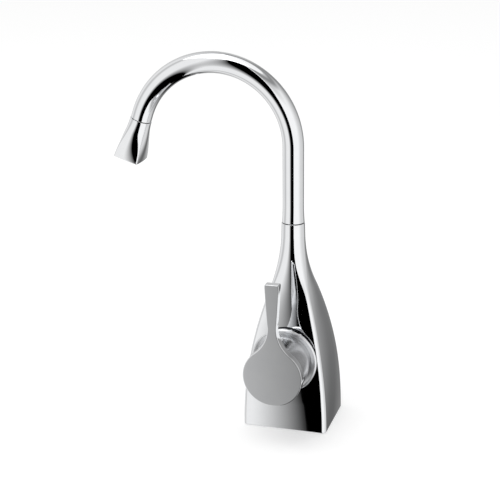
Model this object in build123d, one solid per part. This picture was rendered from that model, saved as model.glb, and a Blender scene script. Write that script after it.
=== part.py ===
from build123d import *
import os
from math import atan2, cos, radians, sin, sqrt

# Instant hot water tap, in millimetres.
# The origin is the centre of the base's underside, +Z is up, -Y is the way the spout points,
# and the lever is on the +X face.

# Driving dimensions of the body
base_width = 52.0
base_depth = 43.7
body_height = 126.0
neck_radius = 7.0
neck_straight = 8.0
bend_height = 85.5
depth_bend_start = 17.5
foot_corner = 2.3
body_wall = 2.6
cavity_top = 88.0
cavity_corner = 2.0
body_section_count = 11
cavity_section_count = 7

# Driving dimensions of the spout and nozzle
tube_radius = 6.35
tube_wall = 1.0
bend_centre_height = 172.0
bend_radius = 48.1
nozzle_tilt = 18.3
spout_tail = 3.65
flare_radius = 6.8
flare_length = 10.5
flare_swell = 0.28
flare_lean = 0.08
nozzle_length = 25.4
nozzle_neck_radius = 6.55
nozzle_half_thick = 8.55
nozzle_half_wide = 9.8
nozzle_corner = 4.9
nozzle_bend = 17.5
nozzle_seam = 0.2
nozzle_section_count = 7

# Driving dimensions of the lever and collar
axis_height = 45.2
paddle_radius = 17.9
paddle_thickness = 5.0
paddle_bevel = 0.4
lever_reach = 26.25
arm_top = 57.5
arm_waist_height = 30.8
arm_waist_half = 2.65
arm_top_half = 4.4
arm_middle_half = 3.65
hub_radius = 17.0
hub_wall = 1.8
collar_radius = 20.0
collar_rim = 0.9
collar_thickness = 1.25
collar_web = 0.6
hub_gap = 0.4

# Named clearances
running_clearance = 0.05
fixed_clearance = 0.05
thread_clearance = 0.05
drop_in_clearance = 0.4
pocket_clearance = 0.15
disc_gap = 0.01
full_round_share = 0.985

# How far a cut runs past the face that it opens, and a joined solid into its neighbour
overshoot = 1.0

# Valve inside the body
barrel_radius = 14.5
barrel_floor = 2.5
flange_start = 14.0
bore_radius = 10.5
thread_radius = 11.0
thread_start = 14.5
annulus_radius = 11.8
annulus_start = 8.0
annulus_end = 11.4
chamber_radius = 5.0
chamber_depth = 8.5
chamber_wall = 2.0
chamber_boss_radius = 7.5
seat_thickness = 2.0
disc_radius = 9.0
disc_thickness = 3.0
disc_port_radius = 2.2
disc_port_offset = 4.8
disc_key_width = 2.4
disc_key_depth = 0.9
slot_width = 3.0
slot_length = 12.0
slot_depth = 1.0
spindle_radius = 4.0
spindle_end = 38.5
spindle_end_gap = 0.5
spindle_flange_radius = 7.3
spindle_flange_thickness = 2.0
spindle_flat = 0.6
spindle_flat_start = 28.5
spindle_head_gap = 0.4
thrust_washer_thickness = 0.9
thrust_chamber_radius = 7.5
bonnet_flange_radius = 13.0
bonnet_flange_thickness = 1.4
bonnet_hex_flats = 17.0
bonnet_end = 27.0
window_width = 5.0
window_margin = 0.4
seal_groove_depth = 1.1
seal_groove_width = 1.4
bonnet_groove_start = 12.3
spindle_grooves = (14.5, 18.0)
clip_thickness = 0.9
clip_groove_depth = 0.8
clip_radius = 6.0
clip_mouth = 5.6

# Lever's inside
insert_radius = 5.5
insert_start = 29.0
insert_length = 12.0
lever_boss_radius = 7.5
grub_radius = 2.0
grub_length = 4.6
grub_socket_radius = 1.1
grub_socket_depth = 2.2
grub_place = 31.5
plug_radius = 2.3
spring_mean_radius = 11.5
spring_wire_radius = 0.8
spring_start = 35.2
spring_pitch = 2.1
spring_turns = 2.75
spring_leg_gap = 0.3
spring_leg_depth = 2.0
spring_leg_angle = 60.0

# Neck joint
neck_bore_radius = 5.0
spigot_length = 21.4
neck_bore_depth = 22.0
spigot_water_radius = 3.2
spigot_in_tube = 11.5
spigot_grooves = (6.0, 11.0)
swivel_groove_place = 15.3
swivel_groove_width = 2.2
swivel_groove_radius = 5.8
spigot_groove_radius = 4.0
split_ring_radius = 5.6
split_ring_bore = 4.2
split_ring_height = 1.8
split_ring_gap = 2.0
neck_washer_thickness = 0.5
neck_washer_radius = 6.5

# Tubes and the base plate
pipe_radius = 3.175
pipe_wall = 0.8
pipe_socket_depth = 8.0
neck_waterway_radius = 2.7
inlet_place = (-6.0, 0.0)
feed_place = (9.5, 0.0)
return_place = (-9.0, 11.0)
chamber_socket_depth = 1.5
barrel_socket_depth = 1.8
return_bend_low = 58.0
return_bend_high = 82.0
return_bend_radius = 18.0
plate_top = 10.0
plate_corner = 1.0
port_radius = 4.0
port_depth = 7.0
stud_radius = 3.0
stud_depth = 8.2
stud_spacing = 30.0
gasket_width = 2.7
gasket_thickness = 1.6
screw_margin_x = 0.85
screw_margin_y = 0.3
screw_radius = 1.5
screw_head_radius = 2.7
screw_head_height = 2.0
screw_sink = 0.3
screw_length = 16.0
screw_hole_spare = 0.8
screw_socket_radius = 1.0
screw_socket_depth = 1.5
lug_half = 2.7
lug_height = 9.5
lug_edge_margin = 1.0

# Nozzle's inside
bush_thread_radius = 5.2
bush_thread_length = 8.0
bush_water_radius = 3.6
bush_groove_start = 4.8
nozzle_cavity_start = 8.4
nozzle_cavity_radius = 6.0
straightener_start = 15.0
straightener_length = 7.0
straightener_hole_radius = 1.3
straightener_ring_radius = 3.8
screen_thickness = 0.5
screen_hole_radius = 0.42
screen_pitch = 1.5
screen_rings = 3
outlet_ring_bore = 4.9
outlet_ring_length = 1.7
stack_gap = 0.1

# Values worked out from the ones above
half_width = base_width / 2
half_depth = base_depth / 2
neck_start = body_height - neck_straight
collar_front = half_depth
collar_seat = collar_front - collar_thickness
dish_floor = collar_seat + collar_web
hub_back = dish_floor + hub_gap
paddle_front = collar_front + lever_reach
paddle_back = paddle_front - paddle_thickness
fixed_disc_start = seat_thickness
drive_disc_start = fixed_disc_start + disc_thickness + disc_gap
drive_disc_end = drive_disc_start + disc_thickness
spindle_flange_start = drive_disc_end + spindle_head_gap
spindle_flange_end = spindle_flange_start + spindle_flange_thickness
thrust_shoulder = spindle_flange_end + thrust_washer_thickness + 2 * disc_gap
pipe_socket_radius = pipe_radius + fixed_clearance
neck_bore_floor = body_height - neck_bore_depth
tube_bore = tube_radius - tube_wall
tube_foot = body_height + neck_washer_thickness
plate_edge_inset = body_wall + drop_in_clearance
screw_inset = plate_edge_inset + gasket_width + screw_head_radius
screw_x = half_depth - screw_inset - screw_margin_x
screw_y = half_width - screw_inset - screw_margin_y


def flare(height, foot_half, neck_half, start, turn, top):
    # Half width of a foot that narrows to a neck by two arcs, tangent to each other and upright
    # at both ends. The arcs meet at the height turn.
    rise = top - start
    drop = foot_half - neck_half
    both_radii = (rise**2 + drop**2) / (2 * drop)
    foot_arc = both_radii * (turn - start) / rise
    neck_arc = both_radii - foot_arc
    if height <= start:
        return foot_half
    if height <= turn:
        return foot_half - foot_arc + sqrt(foot_arc**2 - (height - start)**2)
    if height < top:
        return neck_half + neck_arc - sqrt(neck_arc**2 - (top - height)**2)
    return neck_half


def corner_at(height, foot_radius, neck_half, turn, top):
    share = max(0.0, (height - turn) / (top - turn))
    return foot_radius + (neck_half - foot_radius) * min(1.0, share)


def rounded_section(height, half_x, half_y, corner):
    # The corner stays just short of a full round, so that every section has the same edges
    corner = min(corner, full_round_share * min(half_x, half_y))
    return Plane.XY.offset(height) * RectangleRounded(2 * half_x, 2 * half_y, corner)


def body_halves(height):
    half_x = flare(height, half_depth, neck_radius, depth_bend_start, bend_height, neck_start)
    half_y = flare(height, half_width, neck_radius, 0.0, bend_height, neck_start)
    return half_x, half_y


def body_section(height):
    half_x, half_y = body_halves(height)
    corner = corner_at(height, foot_corner, neck_radius, bend_height, body_height)
    return rounded_section(height, half_x, half_y, corner)


def cavity_section(height):
    half_x, half_y = body_halves(height)
    return rounded_section(height, half_x - body_wall, half_y - body_wall, cavity_corner)


def steps(count, low, high):
    return [low + (high - low) * index / (count - 1) for index in range(count)]


def rod_x(radius, low, high, y=0.0, z=None):
    # A rod along X, on the lever's axis unless its place is given
    height = axis_height if z is None else z
    middle = (low + high) / 2
    return Pos(middle, y, height) * Rot(0, 90, 0) * Cylinder(radius, high - low)


def tube_x(outer, inner, low, high):
    return rod_x(outer, low, high) - rod_x(inner, low - overshoot, high + overshoot)


def rod_z(radius, low, high, x=0.0, y=0.0):
    return Pos(x, y, (low + high) / 2) * Cylinder(radius, high - low)


def tube_z(outer, inner, low, high, x=0.0, y=0.0):
    return rod_z(outer, low, high, x, y) - rod_z(inner, low - overshoot, high + overshoot, x, y)


def seal_ring(groove_radius, bore, clearance):
    # A round ring that sits in a groove and meets the bore around it, lying in the XY plane
    low = groove_radius + clearance
    high = bore - clearance
    return Torus((low + high) / 2, (high - low) / 2)


def on_axis(place):
    # From a shape about the Z axis to one about the lever's axis, at a place along X
    return Pos(place, 0, axis_height) * Rot(0, 90, 0)


# Body casting, hollow and open underneath, with the valve's barrel and the spout's bore
def make_body_shell():
    body = loft([body_section(height) for height in steps(body_section_count, 0.0, body_height)])
    flange = rod_x(collar_radius, flange_start, collar_seat)
    body += flange
    cavity = loft([cavity_section(height) for height in steps(cavity_section_count, 0.0, cavity_top)])
    cavity -= flange
    cavity -= rod_x(barrel_radius, -barrel_floor, collar_seat)
    cavity -= rod_x(chamber_boss_radius, -chamber_depth - chamber_wall, overshoot)
    cavity -= make_lugs()
    body -= cavity
    body -= rod_x(collar_radius + pocket_clearance, collar_seat, paddle_front)
    body -= rod_x(bore_radius, 0.0, paddle_front)
    body -= rod_x(thread_radius, thread_start, paddle_front)
    body -= rod_x(annulus_radius, annulus_start, annulus_end)
    body -= rod_x(chamber_radius, -chamber_depth, overshoot)
    body -= make_waterways()
    for x, y in screw_places():
        body -= rod_z(screw_radius, plate_top - overshoot, screw_length + screw_hole_spare, x, y)
    return body


def screw_places():
    return [(side * screw_x, end * screw_y) for side in (1, -1) for end in (1, -1)]


def make_lugs():
    # Four blocks in the corners of the cavity, which the base plate's screws reach
    lugs = []
    for x, y in screw_places():
        side = 1 if x > 0 else -1
        end = 1 if y > 0 else -1
        reach_x = half_depth - lug_edge_margin - abs(x) + lug_half
        reach_y = half_width - lug_edge_margin - abs(y) + lug_half
        middle_x = side * (abs(x) - lug_half + reach_x / 2)
        middle_y = end * (abs(y) - lug_half + reach_y / 2)
        lug = Pos(middle_x, middle_y, plate_top + lug_height / 2) * Box(reach_x, reach_y, lug_height)
        lugs.append(lug)
    return lugs


def make_waterways():
    # Sockets for the three pipes, and the bore and groove for the spout's spigot
    chamber_floor = axis_height - chamber_boss_radius
    barrel_low = axis_height - barrel_radius
    neck_socket_top = cavity_top + pipe_socket_depth
    groove = body_height - spigot_length + swivel_groove_place
    inlet_top = chamber_floor + chamber_socket_depth
    feed_top = barrel_low + barrel_socket_depth
    return [
        rod_z(pipe_socket_radius, chamber_floor - 2 * overshoot, inlet_top, *inlet_place),
        rod_z(pipe_radius - pipe_wall, chamber_floor, axis_height, *inlet_place),
        rod_z(pipe_socket_radius, barrel_low - 2 * overshoot, feed_top, *feed_place),
        rod_z((annulus_end - annulus_start) / 2, barrel_low, axis_height, *feed_place),
        rod_z(pipe_socket_radius, cavity_top - 2 * overshoot, neck_socket_top),
        rod_z(neck_waterway_radius, neck_socket_top - overshoot, body_height),
        rod_z(neck_bore_radius, neck_bore_floor, body_height + overshoot),
        rod_z(swivel_groove_radius, groove, groove + swivel_groove_width),
    ]


# Brass plate that closes the underside and takes the pipes, the hoses and the fixing studs
def plate_outline(inset):
    wide = base_depth - 2 * (plate_edge_inset + inset)
    long = base_width - 2 * (plate_edge_inset + inset)
    return RectangleRounded(wide, long, plate_corner)


def make_base_plate():
    plate = extrude(plate_outline(0.0), plate_top)
    inside = extrude(plate_outline(gasket_width), gasket_thickness)
    rebate = Box(base_depth, base_width, 2 * gasket_thickness) - inside
    plate -= rebate
    for place in (inlet_place, feed_place, return_place):
        plate -= rod_z(port_radius, -overshoot, port_depth, *place)
        plate -= rod_z(pipe_socket_radius, port_depth, plate_top + overshoot, *place)
    for end in (1, -1):
        plate -= rod_z(stud_radius, -overshoot, stud_depth, 0.0, end * stud_spacing / 2)
    for x, y in screw_places():
        plate -= rod_z(screw_radius + fixed_clearance, -overshoot, plate_top + overshoot, x, y)
        plate -= rod_z(screw_head_radius + fixed_clearance, -overshoot, screw_head_height, x, y)
    return plate


def make_base_gasket():
    outer = extrude(plate_outline(0.0), gasket_thickness)
    inner = extrude(plate_outline(gasket_width - fixed_clearance), gasket_thickness)
    return outer - inner


def make_base_plate_screws():
    screws = []
    for x, y in screw_places():
        screw = rod_z(screw_radius - thread_clearance, screw_sink, screw_length, x, y)
        screw += rod_z(screw_head_radius, screw_sink, screw_head_height, x, y)
        screw -= rod_z(screw_socket_radius, 0.0, screw_socket_depth, x, y)
        screws.append(screw)
    return Compound(children=screws)


# Copper pipes from the plate's sockets to the valve and the neck
def make_straight_pipe(place, top):
    return tube_z(pipe_radius, pipe_radius - pipe_wall, port_depth, top, *place)


def make_inlet_tube():
    return make_straight_pipe(inlet_place, axis_height - chamber_boss_radius + chamber_socket_depth)


def make_feed_tube():
    return make_straight_pipe(feed_place, axis_height - barrel_radius + barrel_socket_depth)


def make_return_tube():
    x, y = return_place
    points = [
        (x, y, port_depth),
        (x, y, return_bend_low),
        (0, 0, return_bend_high),
        (0, 0, cavity_top + pipe_socket_depth),
    ]
    route = FilletPolyline(*points, radius=return_bend_radius)
    foot = Plane.XY.offset(port_depth) * Pos(x, y)
    ring = foot * (Circle(pipe_radius) - Circle(pipe_radius - pipe_wall))
    return sweep(ring, path=route)


# Bezel that closes the barrel's mouth, with a raised rim round a shallow dish
def make_collar_ring():
    ring = tube_x(collar_radius, thread_radius + pocket_clearance, collar_seat, collar_front)
    ring -= rod_x(collar_radius - collar_rim, dish_floor, collar_front + overshoot)
    return ring


# Quarter-turn cartridge
def make_seat_seal():
    return tube_x(bore_radius - 2 * fixed_clearance, chamber_radius, 0.0, seat_thickness)


def make_disc(start, port_angle):
    disc = rod_x(disc_radius, start, start + disc_thickness)
    for side in (1, -1):
        y = side * disc_port_offset * sin(radians(port_angle))
        z = axis_height + side * disc_port_offset * cos(radians(port_angle))
        end = start + disc_thickness
        disc -= rod_x(disc_port_radius, start - overshoot, end + overshoot, y, z)
    return disc


def make_fixed_disc():
    disc = make_disc(fixed_disc_start, 0.0)
    for side in (1, -1):
        notch_middle = side * disc_radius
        notch = Box(3 * disc_thickness, 2 * disc_key_depth, disc_key_width)
        disc -= Pos(fixed_disc_start, notch_middle, axis_height) * notch
    return disc


def make_drive_disc():
    disc = make_disc(drive_disc_start, 90.0)
    slot = Box(2 * slot_depth, slot_width, slot_length)
    return disc - Pos(drive_disc_end, 0, axis_height) * slot


def make_bonnet():
    bottom = seat_thickness
    bonnet = rod_x(bore_radius - fixed_clearance, bottom, thread_start)
    bonnet += rod_x(thread_radius - thread_clearance, thread_start, dish_floor)
    flange_end = dish_floor + bonnet_flange_thickness
    bonnet += rod_x(bonnet_flange_radius, dish_floor, flange_end)
    hex_nut = RegularPolygon(bonnet_hex_flats / 2, 6, major_radius=False)
    bonnet += on_axis(flange_end) * extrude(hex_nut, bonnet_end - flange_end)
    disc_bore = disc_radius + 2 * running_clearance
    bonnet -= rod_x(disc_bore, bottom - overshoot, drive_disc_end + disc_gap)
    bonnet -= rod_x(thrust_chamber_radius, bottom, thrust_shoulder)
    bonnet -= rod_x(spindle_radius + running_clearance, bottom, bonnet_end + overshoot)
    groove_end = bonnet_groove_start + seal_groove_width
    groove_inner = bore_radius - seal_groove_depth
    bonnet -= tube_x(bore_radius + overshoot, groove_inner, bonnet_groove_start, groove_end)
    window_low = annulus_start + window_margin
    window_high = annulus_end - window_margin
    for turn in (0, 90):
        window = Box(window_high - window_low, window_width, 3 * bore_radius)
        window -= Box(window_high, window_width + overshoot, 2 * thrust_chamber_radius)
        bonnet -= Pos((window_low + window_high) / 2, 0, axis_height) * Rot(turn + 45, 0, 0) * window
    key_low = disc_radius - disc_key_depth + 2 * fixed_clearance
    key_high = disc_radius + 3 * running_clearance
    for side in (1, -1):
        key_width = disc_key_width - 2 * fixed_clearance
        key = Box(disc_thickness, key_high - key_low, key_width)
        key_x = fixed_disc_start + disc_thickness / 2
        bonnet += Pos(key_x, side * (key_low + key_high) / 2, axis_height) * key
    return bonnet


def make_bonnet_seal():
    place = bonnet_groove_start + seal_groove_width / 2
    return on_axis(place) * seal_ring(bore_radius - seal_groove_depth, bore_radius, fixed_clearance)


def make_spindle():
    spindle = rod_x(spindle_radius, spindle_flange_start, spindle_end)
    spindle += rod_x(spindle_flange_radius, spindle_flange_start, spindle_flange_end)
    tang_length = slot_length - 4 * running_clearance
    tang_width = slot_width - 2 * running_clearance
    tang_depth = spindle_flange_start - drive_disc_end + slot_depth - running_clearance
    tang = Box(tang_depth, tang_width, tang_length)
    spindle += Pos(spindle_flange_start - tang_depth / 2, 0, axis_height) * tang
    for groove in spindle_grooves:
        inner = spindle_radius - seal_groove_depth
        spindle -= tube_x(spindle_radius + overshoot, inner, groove, groove + seal_groove_width)
    clip_low = bonnet_end + running_clearance
    clip_high = clip_low + clip_thickness + 2 * running_clearance
    clip_inner = spindle_radius - clip_groove_depth
    spindle -= tube_x(spindle_radius + overshoot, clip_inner, clip_low, clip_high)
    flat_length = spindle_end - spindle_flat_start
    flat = Box(flat_length + overshoot, 2 * spindle_radius, 2 * spindle_flat)
    flat_middle = (spindle_end + spindle_flat_start + overshoot) / 2
    return spindle - Pos(flat_middle, 0, axis_height - spindle_radius) * flat


def make_spindle_seals():
    inner = spindle_radius - seal_groove_depth
    bore = spindle_radius + running_clearance
    ring = seal_ring(inner, bore, running_clearance)
    middle = seal_groove_width / 2
    return Compound(children=[on_axis(groove + middle) * ring for groove in spindle_grooves])


def make_spindle_clip():
    low = bonnet_end + 2 * running_clearance
    inner = spindle_radius - clip_groove_depth + running_clearance
    clip = tube_x(clip_radius, inner, low, low + clip_thickness)
    mouth = Box(3 * clip_thickness, 2 * clip_radius, clip_mouth)
    return clip - Pos(low, clip_radius, axis_height) * mouth


def make_thrust_washer():
    low = spindle_flange_end + disc_gap
    inner = spindle_radius + running_clearance
    outer = spindle_flange_radius
    return tube_x(outer, inner, low, low + thrust_washer_thickness)


# Lever: a flat paddle with a waisted arm, cast with its hollow hub
def paddle_outline():
    # Drawn with x to the user's right seen from the lever's side (Y) and y up (Z)
    waist_high = (arm_waist_height + arm_top) / 2
    far = arm_waist_height**2 + arm_waist_half**2 - paddle_radius**2
    fillet_radius = far / (2 * (paddle_radius - arm_waist_half))
    centre_x = arm_waist_half + fillet_radius
    share = paddle_radius / (paddle_radius + fillet_radius)
    touch = (centre_x * share, arm_waist_height * share)
    turn = atan2(arm_waist_height, centre_x) / 2
    middle_x = centre_x - fillet_radius * cos(turn)
    middle_y = arm_waist_height - fillet_radius * sin(turn)
    lines = []
    for side in (1, -1):
        lines.append(ThreePointArc(
            (side * touch[0], touch[1]), (side * middle_x, middle_y),
            (side * arm_waist_half, arm_waist_height)))
        lines.append(ThreePointArc(
            (side * arm_waist_half, arm_waist_height), (side * arm_middle_half, waist_high),
            (side * arm_top_half, arm_top)))
        lines.append(Line((0, 0), (side * touch[0], touch[1])))
    lines.append(Line((arm_top_half, arm_top), (-arm_top_half, arm_top)))
    return make_face(lines) + Circle(paddle_radius)


def make_lever_casting():
    side_plane = Plane(origin=(paddle_back, 0, axis_height), x_dir=(0, 1, 0), z_dir=(1, 0, 0))
    lever = extrude(side_plane * paddle_outline(), paddle_thickness)
    front_edges = lever.faces().sort_by(Axis.X)[-1].edges()
    lever = chamfer(front_edges, paddle_bevel)
    lever += tube_x(hub_radius, hub_radius - hub_wall, hub_back, paddle_back + overshoot)
    lever += rod_x(lever_boss_radius, insert_start, paddle_back + overshoot)
    hole_end = insert_start + insert_length + fixed_clearance
    lever -= rod_x(insert_radius + fixed_clearance, insert_start - overshoot, hole_end)
    boss_low = axis_height - lever_boss_radius
    hub_low = axis_height - hub_radius
    lever -= rod_z(grub_radius, boss_low - overshoot, axis_height, grub_place)
    lever -= rod_z(plug_radius, hub_low - overshoot, hub_low + 2 * hub_wall, grub_place)
    leg_y, leg_z = spring_end_place()
    leg_hole = spring_wire_radius + fixed_clearance
    lever -= rod_x(leg_hole, paddle_back - overshoot, leg_hole_floor(), leg_y, leg_z)
    return lever


def make_lever_insert():
    end = insert_start + insert_length
    insert = rod_x(insert_radius, insert_start, end)
    bore_end = spindle_end + spindle_end_gap
    bore = rod_x(spindle_radius + fixed_clearance, insert_start - overshoot, bore_end)
    flat_drop = spindle_radius + spindle_flat - 2 * fixed_clearance
    flat = Box(2 * insert_length, 4 * spindle_radius, 4 * spindle_flat)
    middle = axis_height - flat_drop - spindle_flat + fixed_clearance
    bore -= Pos((insert_start + end) / 2, 0, middle) * flat
    insert -= bore
    insert_low = axis_height - insert_radius
    return insert - rod_z(grub_radius, insert_low - overshoot, axis_height, grub_place)


def make_grub_screw():
    top = axis_height - spindle_radius + spindle_flat - fixed_clearance
    low = top - grub_length
    screw = rod_z(grub_radius - thread_clearance, low, top, grub_place)
    socket = RegularPolygon(grub_socket_radius, 6, major_radius=False)
    return screw - Pos(grub_place, 0, low) * extrude(socket, grub_socket_depth)


def make_screw_plug():
    inner_wall = hub_radius - hub_wall
    hub_low = axis_height - hub_radius
    hole_radius = plug_radius - fixed_clearance
    plug = rod_z(hole_radius, hub_low - overshoot, axis_height - inner_wall, grub_place)
    reach = plug_radius + overshoot
    return plug - tube_x(hub_radius + reach, hub_radius, grub_place - reach, grub_place + reach)


def spring_point(turns):
    angle = radians(spring_leg_angle + 360 * turns)
    return (spring_mean_radius * sin(angle), axis_height + spring_mean_radius * cos(angle))


def spring_end_place():
    return spring_point(-spring_turns)


def leg_hole_floor():
    return paddle_back + spring_leg_depth


def make_return_spring():
    # Torsion spring: the coil, and a straight leg from each end along the lever's axis
    height = spring_pitch * spring_turns
    path = Helix(spring_pitch, height, spring_mean_radius)
    wire = Plane(origin=path @ 0, z_dir=path % 0) * Circle(spring_wire_radius)
    spring = on_axis(spring_start) * Rot(0, 0, 180 - spring_leg_angle) * sweep(wire, path=path)
    flange_face = dish_floor + bonnet_flange_thickness
    legs = [
        (spring_point(0.0), flange_face + spring_leg_gap, spring_start, spring_start),
        (spring_end_place(), spring_start + height, leg_hole_floor() - fixed_clearance,
         spring_start + height),
    ]
    for (y, z), low, high, elbow in legs:
        spring += rod_x(spring_wire_radius, low, high, y, z)
        spring += Pos(elbow, y, z) * Sphere(spring_wire_radius)
    return spring


# Neck joint of the spout
def spigot_foot():
    return body_height - spigot_length


def make_spout_spigot():
    foot = spigot_foot()
    spigot = rod_z(neck_bore_radius - running_clearance, foot, tube_foot)
    spigot += rod_z(tube_bore - fixed_clearance, tube_foot, tube_foot + spigot_in_tube)
    spigot -= rod_z(spigot_water_radius, foot - overshoot, tube_foot + spigot_in_tube + overshoot)
    clear = neck_bore_radius + overshoot
    for groove in spigot_grooves:
        low = foot + groove
        groove_inner = neck_bore_radius - seal_groove_depth
        spigot -= tube_z(clear, groove_inner, low, low + seal_groove_width)
    low = foot + swivel_groove_place
    spigot -= tube_z(clear, spigot_groove_radius, low, low + swivel_groove_width)
    return spigot


def make_spigot_seals():
    ring = seal_ring(neck_bore_radius - seal_groove_depth, neck_bore_radius, running_clearance)
    middle = spigot_foot() + seal_groove_width / 2
    return Compound(children=[Pos(0, 0, middle + groove) * ring for groove in spigot_grooves])


def make_split_ring():
    spare = (swivel_groove_width - split_ring_height) / 2
    low = spigot_foot() + swivel_groove_place + spare
    ring = tube_z(split_ring_radius, split_ring_bore, low, low + split_ring_height)
    middle = low + split_ring_height / 2
    cut = Box(split_ring_gap, 2 * split_ring_radius, 2 * split_ring_height)
    return ring - Pos(0, split_ring_radius, middle) * cut


def make_neck_washer():
    return tube_z(neck_washer_radius, neck_bore_radius, body_height, tube_foot)


# Spout: a riser, one large bend and a short tail, flared where it meets the neck
def bend_point(angle):
    y = -bend_radius * (1 - cos(radians(angle)))
    return (0, y, bend_centre_height + bend_radius * sin(radians(angle)))


def spout_route():
    end_angle = 180.0 - nozzle_tilt
    riser = Line((0, 0, tube_foot), (0, 0, bend_centre_height))
    bend = ThreePointArc(bend_point(0), bend_point(end_angle / 2), bend_point(end_angle))
    tail = Line(bend_point(end_angle), nozzle_plane().origin)
    return Wire([riser, bend, tail])


def nozzle_plane():
    tilt = radians(nozzle_tilt)
    down = Vector(0, -sin(tilt), -cos(tilt))
    seam = Vector(*bend_point(180.0 - nozzle_tilt)) + down * spout_tail
    return Plane(origin=seam, x_dir=(1, 0, 0), z_dir=down)


def make_spout_tube():
    foot = Plane.XY.offset(tube_foot)
    outer = sweep(foot * Circle(tube_radius), path=spout_route())
    middle = flare_length / 2
    bulge = tube_radius + (flare_radius - tube_radius) * flare_swell
    points = [(flare_radius, 0), (bulge, middle), (tube_radius, flare_length)]
    side = Spline(*points, tangents=[(-flare_lean, 1), (0, 1)])
    outline = make_face([
        Line((0, 0), (flare_radius, 0)), side,
        Line((tube_radius, flare_length), (0, flare_length)), Line((0, flare_length), (0, 0))])
    flare_solid = revolve(Plane.XZ * outline, Axis.Z)
    outer += Pos(0, 0, tube_foot) * flare_solid
    inner = sweep(foot * Circle(tube_bore), path=spout_route())
    return outer - inner


# Nozzle and the pieces inside it, drawn along Z from the seam and then put at the spout's end
def nozzle_section(place):
    height = nozzle_length - place
    across = flare(height, nozzle_half_wide, nozzle_neck_radius, 0.0, nozzle_bend, nozzle_length)
    thick = flare(height, nozzle_half_thick, nozzle_neck_radius, 0.0, nozzle_bend, nozzle_length)
    corner = corner_at(height, nozzle_corner, nozzle_neck_radius, 0.0, nozzle_length)
    return rounded_section(place, across, thick, corner)


def at_nozzle(shape):
    return nozzle_plane().location * shape


def make_nozzle_shell():
    places = steps(nozzle_section_count, nozzle_seam, nozzle_length)
    shell = loft([nozzle_section(place) for place in places])
    thread_bore = bush_thread_radius + thread_clearance
    shell -= rod_z(thread_bore, 0.0, nozzle_cavity_start + overshoot)
    shell -= rod_z(nozzle_cavity_radius, nozzle_cavity_start, nozzle_length + overshoot)
    return at_nozzle(shell)


def make_nozzle_bush():
    bush = rod_z(tube_bore - fixed_clearance, -spout_tail, 0.0)
    bush += rod_z(bush_thread_radius, -overshoot, bush_thread_length)
    bush -= rod_z(bush_water_radius, -spout_tail - overshoot, bush_thread_length + overshoot)
    groove_end = bush_groove_start + seal_groove_width
    inner = bush_thread_radius - seal_groove_depth
    bush -= tube_z(bush_thread_radius + overshoot, inner, bush_groove_start, groove_end)
    return at_nozzle(bush)


def make_nozzle_seal():
    bore = bush_thread_radius + thread_clearance
    inner = bush_thread_radius - seal_groove_depth
    ring = seal_ring(inner, bore, fixed_clearance)
    return at_nozzle(Pos(0, 0, bush_groove_start + seal_groove_width / 2) * ring)


def hex_ring(ring, pitch):
    # Places on one ring of a hexagonal pattern, or the centre for ring 0
    if ring == 0:
        return [(0.0, 0.0)]
    places = []
    for corner in range(6):
        start = radians(60 * corner)
        after = radians(60 * (corner + 1))
        for step in range(ring):
            share = step / ring
            x = ring * pitch * (cos(start) * (1 - share) + cos(after) * share)
            y = ring * pitch * (sin(start) * (1 - share) + sin(after) * share)
            places.append((x, y))
    return places


def make_flow_straightener():
    end = straightener_start + straightener_length
    core = rod_z(nozzle_cavity_radius - fixed_clearance, straightener_start, end)
    for ring in range(2):
        for x, y in hex_ring(ring, straightener_ring_radius):
            start = straightener_start - overshoot
            core -= rod_z(straightener_hole_radius, start, end + overshoot, x, y)
    return at_nozzle(core)


def make_outlet_screen():
    low = straightener_start + straightener_length + stack_gap
    high = low + screen_thickness
    screen = rod_z(nozzle_cavity_radius - fixed_clearance, low, high)
    holes = []
    for ring in range(screen_rings + 1):
        for x, y in hex_ring(ring, screen_pitch):
            holes.append(rod_z(screen_hole_radius, low - overshoot, high + overshoot, x, y))
    screen -= holes
    return at_nozzle(screen)


def make_outlet_ring():
    low = straightener_start + straightener_length + screen_thickness + 2 * stack_gap
    outer = nozzle_cavity_radius - thread_clearance
    return at_nozzle(tube_z(outer, outlet_ring_bore, low, low + outlet_ring_length))


parts = {
    "body_shell": make_body_shell,
    "base_plate": make_base_plate,
    "base_gasket": make_base_gasket,
    "base_plate_screws": make_base_plate_screws,
    "inlet_tube": make_inlet_tube,
    "feed_tube": make_feed_tube,
    "return_tube": make_return_tube,
    "collar_ring": make_collar_ring,
    "seat_seal": make_seat_seal,
    "fixed_disc": make_fixed_disc,
    "drive_disc": make_drive_disc,
    "bonnet": make_bonnet,
    "bonnet_seal": make_bonnet_seal,
    "spindle": make_spindle,
    "spindle_seals": make_spindle_seals,
    "spindle_clip": make_spindle_clip,
    "thrust_washer": make_thrust_washer,
    "lever_casting": make_lever_casting,
    "lever_insert": make_lever_insert,
    "grub_screw": make_grub_screw,
    "screw_plug": make_screw_plug,
    "return_spring": make_return_spring,
    "spout_spigot": make_spout_spigot,
    "spigot_seals": make_spigot_seals,
    "split_ring": make_split_ring,
    "neck_washer": make_neck_washer,
    "spout_tube": make_spout_tube,
    "nozzle_shell": make_nozzle_shell,
    "nozzle_bush": make_nozzle_bush,
    "nozzle_seal": make_nozzle_seal,
    "flow_straightener": make_flow_straightener,
    "outlet_screen": make_outlet_screen,
    "outlet_ring": make_outlet_ring,
}

os.makedirs("parts", exist_ok=True)
for name, make in parts.items():
    shape = make()
    export_step(shape, f"parts/{name}.step")
    print(name, "volume", round(shape.volume, 1))
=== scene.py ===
import bmesh
import bpy
import math
from mathutils import Matrix, Vector


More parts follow.
